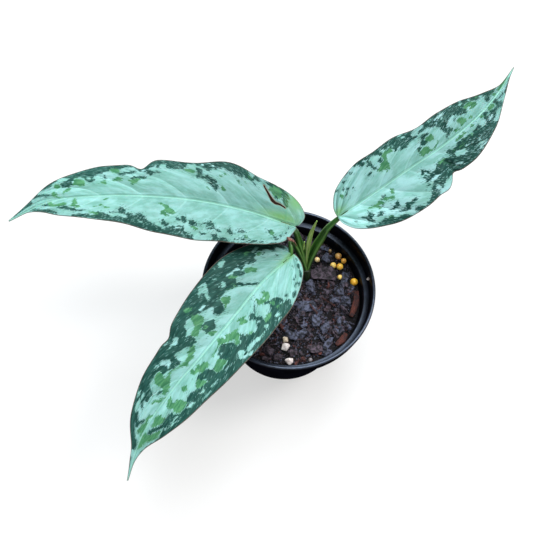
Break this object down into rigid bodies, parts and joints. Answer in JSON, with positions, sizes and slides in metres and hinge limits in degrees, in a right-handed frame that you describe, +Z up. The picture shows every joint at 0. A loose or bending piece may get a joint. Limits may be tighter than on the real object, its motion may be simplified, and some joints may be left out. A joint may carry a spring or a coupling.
{
  "type": "potted tricolor aglaonema pictum",
  "caption": "Young aroid house plant with camouflage-patterned silver, mid-green and dark-green leaves in a thin black nursery pot of bark soil.",
  "frame": {"origin": "middle of the underside of the pot, on the surface that it stands on", "axes": "+Z up, +X to the right and +Y away from the viewer in the pictured view"},
  "size_m": [0.2448, 0.2017, 0.1272],
  "materials": {
    "pot_plastic": "thin black moulded plastic with a soft sheen",
    "potting_mix": "damp dark bark and charcoal chips",
    "bark": "reddish fibrous bark strip",
    "leaf_blade": "satin leaf with silver, mid-green and dark-green patches and a pale green midrib",
    "leaf_stalk": "smooth dark green stalk with lighter sheath edges",
    "new_leaf": "light yellow-green rolled leaf",
    "dry_bract": "papery withered pinkish brown",
    "pumice": "dull pale porous stone",
    "clay": "dull grey bead",
    "prill_coat": "smooth yellow resin-coated ball"
  },
  "bodies": {
    "root": {"pot": "pot_plastic", "soil": "potting_mix", "bark_strip_1": "bark", "bark_strip_2": "bark", "stem": "leaf_stalk", "leaf_left": "leaf_blade", "leaf_front": "leaf_blade", "leaf_right": "leaf_blade", "spear": "new_leaf", "bract": "dry_bract", "pumice_grain_1": "pumice", "pumice_grain_2": "pumice", "pumice_grain_3": "pumice", "clay_bead": "clay", "fertilizer_prill_1": "prill_coat", "fertilizer_prill_2": "prill_coat", "fertilizer_prill_3": "prill_coat", "fertilizer_prill_4": "prill_coat", "fertilizer_prill_5": "prill_coat", "fertilizer_prill_6": "prill_coat", "fertilizer_prill_7": "prill_coat", "fertilizer_prill_8": "prill_coat"}
  },
  "joints": []
}
